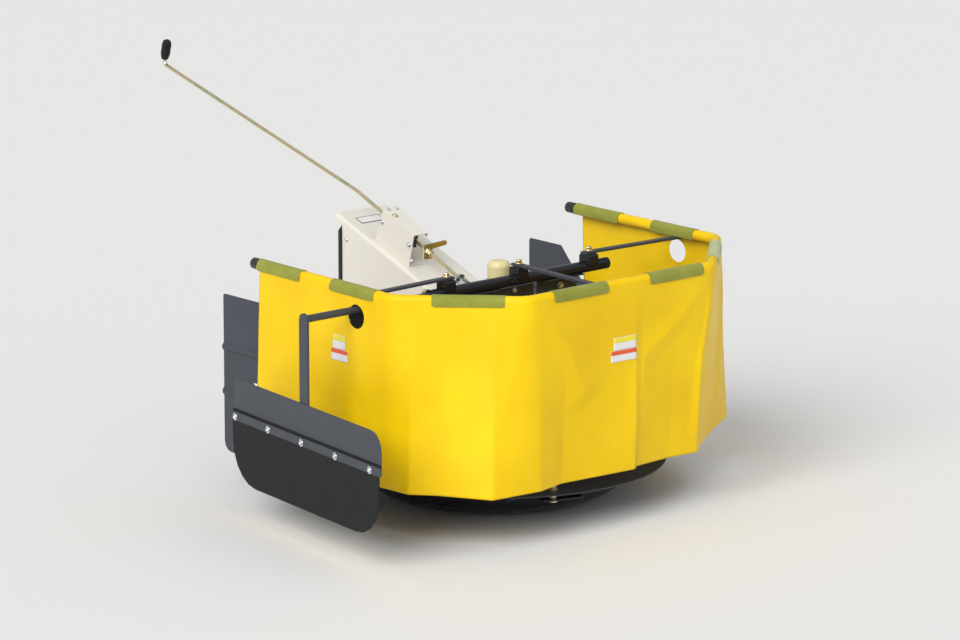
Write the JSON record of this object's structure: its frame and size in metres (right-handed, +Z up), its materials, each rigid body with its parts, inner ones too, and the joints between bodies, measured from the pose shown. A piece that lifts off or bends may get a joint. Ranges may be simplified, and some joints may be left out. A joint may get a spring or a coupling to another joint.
{
  "type": "single-disc rotary mower head",
  "caption": "Disc mower head for a walk-behind tractor: apron on a tube hoop, knife disc on a spinning skid, bevel drive with clutch rod, and a side swath board.",
  "frame": {"origin": "centre of the wear pad's underside, on the rotor axis, at ground level", "axes": "+Z up along the rotor axis, +Y towards the tractor, -Y the way it travels, +X its left"},
  "size_m": [1.238, 1.6714, 0.9245],
  "materials": {
    "yellow_sheet": "PVC-coated tarpaulin, satin, softly creased",
    "green_tab": "woven hook-and-loop webbing, matt",
    "slate_paint": "slate grey semi-gloss paint",
    "black_paint": "black semi-gloss paint",
    "cream_paint": "cream semi-gloss paint",
    "ivory_plastic": "moulded ivory plastic, satin",
    "black_plastic": "moulded black plastic",
    "zinc_yellow": "yellow passivated zinc plate",
    "zinc_clear": "clear zinc plate",
    "machined_steel": "machined steel, oiled",
    "cast_iron": "cast iron, dark paint",
    "rubber": "plain black rubber sheet, matt"
  },
  "bodies": {
    "chassis": {"hoop_tube": "slate_paint", "hoop_cap_left": "black_plastic", "hoop_cap_right": "black_plastic", "apron": "yellow_sheet", "tab_left_rear": "green_tab", "tab_left_front": "green_tab", "tab_left_corner": "green_tab", "tab_front_left": "green_tab", "tab_front_right": "green_tab", "tab_right_corner": "green_tab", "tab_right_front": "green_tab", "tab_right_rear": "green_tab", "cross_tube": "black_paint", "arm_set_bolt": "zinc_yellow", "saddle_left": "black_paint", "saddle_centre": "black_paint", "saddle_right": "black_paint", "stay_left": "slate_paint", "stay_centre": "slate_paint", "stay_right": "slate_paint", "saddle_bolt_left": "zinc_yellow", "saddle_bolt_centre": "zinc_yellow", "saddle_bolt_right": "zinc_yellow", "tube_carrier": "slate_paint", "deck": "slate_paint", "side_panel_left": "slate_paint", "side_panel_right": "slate_paint", "gear_case": "cast_iron", "gear_case_lid": "cast_iron", "lid_cap": "ivory_plastic", "drive_cover": "cream_paint", "rear_flange": "black_paint", "rod_bracket": "cream_paint", "rod_guide": "black_plastic", "bearing_upper": "machined_steel", "bearing_lower": "machined_steel"},
    "rotor": {"rotor_shaft": "machined_steel", "rotor_pinion": "machined_steel", "rotor_disc": "slate_paint", "knife_bolt_1": "zinc_yellow", "knife_bolt_2": "zinc_yellow", "knife_bolt_3": "zinc_yellow"},
    "knife_1": {"knife_1": "black_paint"},
    "knife_2": {"knife_2": "black_paint"},
    "knife_3": {"knife_3": "black_paint"},
    "skid": {"skid_dish": "black_paint", "skid_pad": "machined_steel"},
    "input": {"input_shaft": "machined_steel"},
    "sleeve": {"clutch_sleeve": "machined_steel"},
    "drive": {"drive_gear": "machined_steel"},
    "carriage": {"rod_yoke": "zinc_clear"},
    "rod": {"control_rod": "zinc_yellow", "hook_plate": "zinc_yellow", "rod_grip": "rubber"},
    "lever": {"clutch_lever": "machined_steel"},
    "arm": {"swath_tube": "slate_paint"},
    "board": {"swath_bar": "slate_paint", "swath_plate": "slate_paint", "rubber_flap": "rubber", "clamp_strip": "slate_paint"}
  },
  "joints": [
    {"name": "rotor_spin", "type": "hinge", "parent": "chassis", "child": "rotor", "pos_m": [0, 0, 0.2], "axis": [0, 0, 1], "continuous": true},
    {"name": "skid_spin", "type": "hinge", "parent": "rotor", "child": "skid", "pos_m": [0, 0, 0.03], "axis": [0, 0, 1], "continuous": true},
    {"name": "knife_1_swing", "type": "hinge", "parent": "rotor", "child": "knife_1", "pos_m": [-0.11806, -0.33903, 0.066], "axis": [0, 0, 1], "range_deg": [-190, 5]},
    {"name": "knife_2_swing", "type": "hinge", "parent": "rotor", "child": "knife_2", "pos_m": [0.35264, 0.06727, 0.066], "axis": [0, 0, 1], "range_deg": [-190, 5]},
    {"name": "knife_3_swing", "type": "hinge", "parent": "rotor", "child": "knife_3", "pos_m": [-0.23458, 0.27176, 0.066], "axis": [0, 0, 1], "range_deg": [-190, 5]},
    {"name": "drive_spin", "type": "hinge", "parent": "chassis", "child": "drive", "pos_m": [0, 0.04, 0.4], "axis": [0, 1, 0], "continuous": true},
    {"name": "input_spin", "type": "hinge", "parent": "chassis", "child": "input", "pos_m": [0, 0.3, 0.4], "axis": [0, 1, 0], "continuous": true},
    {"name": "sleeve_slide", "type": "slide", "parent": "input", "child": "sleeve", "axis": [0, -1, 0], "range_m": [0, 0.0083]},
    {"name": "rod_slide", "type": "slide", "parent": "chassis", "child": "carriage", "axis": [0, 0.9272, 0.3746], "range_m": [0, 0.018]},
    {"name": "rod_twist", "type": "hinge", "parent": "carriage", "child": "rod", "pos_m": [-0.04, 0.058, 0.4938], "axis": [0, 0.9272, 0.3746], "range_deg": [-50, 10]},
    {"name": "lever_turn", "type": "hinge", "parent": "chassis", "child": "lever", "pos_m": [-0.04, 0.07673, 0.44744], "axis": [-1, 0, 0], "range_deg": [0, 19.9]},
    {"name": "arm_slide", "type": "slide", "parent": "chassis", "child": "arm", "axis": [-1, 0, 0], "range_m": [-0.05, 0.1]},
    {"name": "board_turn", "type": "hinge", "parent": "arm", "child": "board", "pos_m": [-0.653, -0.095, 0.526], "axis": [1, 0, 0], "range_deg": [-10, 95]}
  ],
  "couplings": [
    {"joint": "drive_spin", "follows": "rotor_spin", "ratio": 0.57692},
    {"joint": "sleeve_slide", "follows": "rod_slide", "ratio": 0.4555},
    {"joint": "lever_turn", "follows": "rod_slide", "rad_per_m": 19.2}
  ]
}
